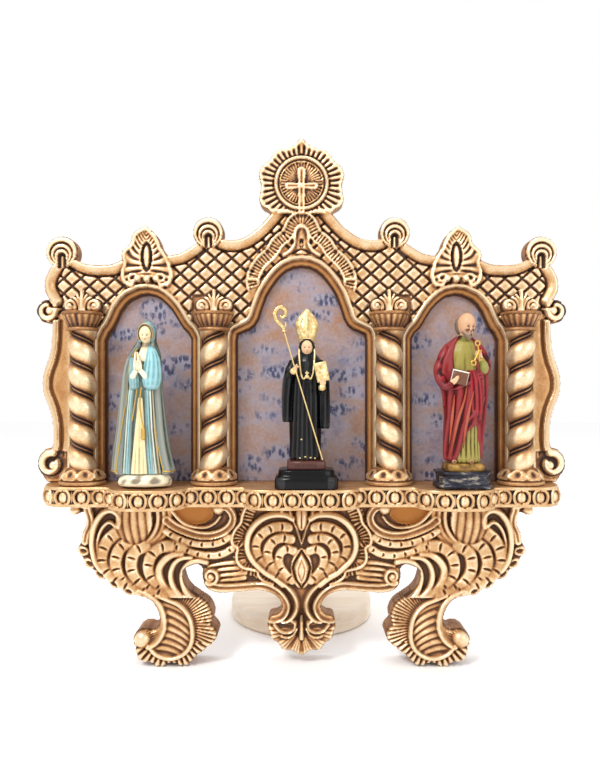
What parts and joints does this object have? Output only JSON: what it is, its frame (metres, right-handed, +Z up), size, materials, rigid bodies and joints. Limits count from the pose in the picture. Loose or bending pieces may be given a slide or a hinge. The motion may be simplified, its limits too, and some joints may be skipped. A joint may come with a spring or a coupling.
{
  "type": "triptych altarpiece",
  "caption": "Standing gilt triptych altarpiece with arched niches between twisted columns, a bowed shelf with painted statuettes, a scrolled apron with feet and a round foot behind.",
  "frame": {"origin": "on the floor, at the middle of the whole object's width and depth", "axes": "+X to the viewer's right, +Y towards the back, +Z up; the niches face -Y"},
  "size_m": [0.596, 0.313, 0.5873],
  "materials": {
    "gilt": "antique gold leaf with dark wax in the hollows",
    "painted_board": "matt mauve paint with blue sponge dabs",
    "veiled_paint": "gloss paint with gold lines",
    "mitred_paint": "gloss paint with gold edges",
    "cloaked_paint": "gloss paint",
    "plinth_black": "gloss black",
    "plinth_gold": "worn gold and black paint",
    "crozier_gold": "polished",
    "stand_wood": "pale turned wood"
  },
  "bodies": {
    "root": {"frame": "gilt", "painted_board": "painted_board", "column_outer_left": "gilt", "column_inner_left": "gilt", "column_inner_right": "gilt", "column_outer_right": "gilt", "shelf": "gilt", "apron": "gilt", "veiled_figure": "veiled_paint", "mitred_figure": "mitred_paint", "mitred_figure_plinth": "plinth_black", "crozier": "crozier_gold", "cloaked_figure": "cloaked_paint", "cloaked_figure_plinth": "plinth_gold", "stand_foot": "stand_wood", "stand_strut": "stand_wood"}
  },
  "joints": []
}
